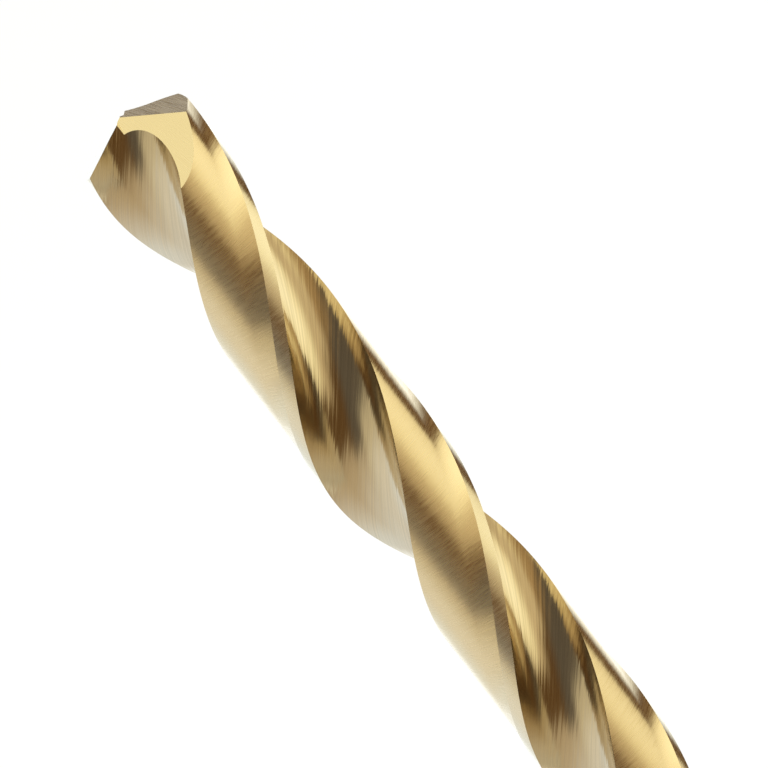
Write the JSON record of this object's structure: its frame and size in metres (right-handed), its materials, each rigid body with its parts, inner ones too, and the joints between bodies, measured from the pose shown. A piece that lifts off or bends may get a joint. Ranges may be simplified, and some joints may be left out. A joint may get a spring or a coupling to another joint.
{
  "type": "twist drill bit",
  "caption": "Straight-shank twist drill bit with right-hand helical flutes, ground lands with narrow margins, a split point and a gold-coloured coating.",
  "frame": {"origin": "centre of the shank's end face, on the bit's axis; the bit stands on that face", "axes": "+Z along the bit's axis from the shank end to the point; +X through the outer corner of one cutting lip"},
  "size_m": [0.01, 0.01, 0.133],
  "materials": {
    "coated_steel": "ground high-speed steel with a thin pale gold nitride coating"
  },
  "bodies": {
    "root": {"drill_bit": "coated_steel"}
  },
  "joints": []
}
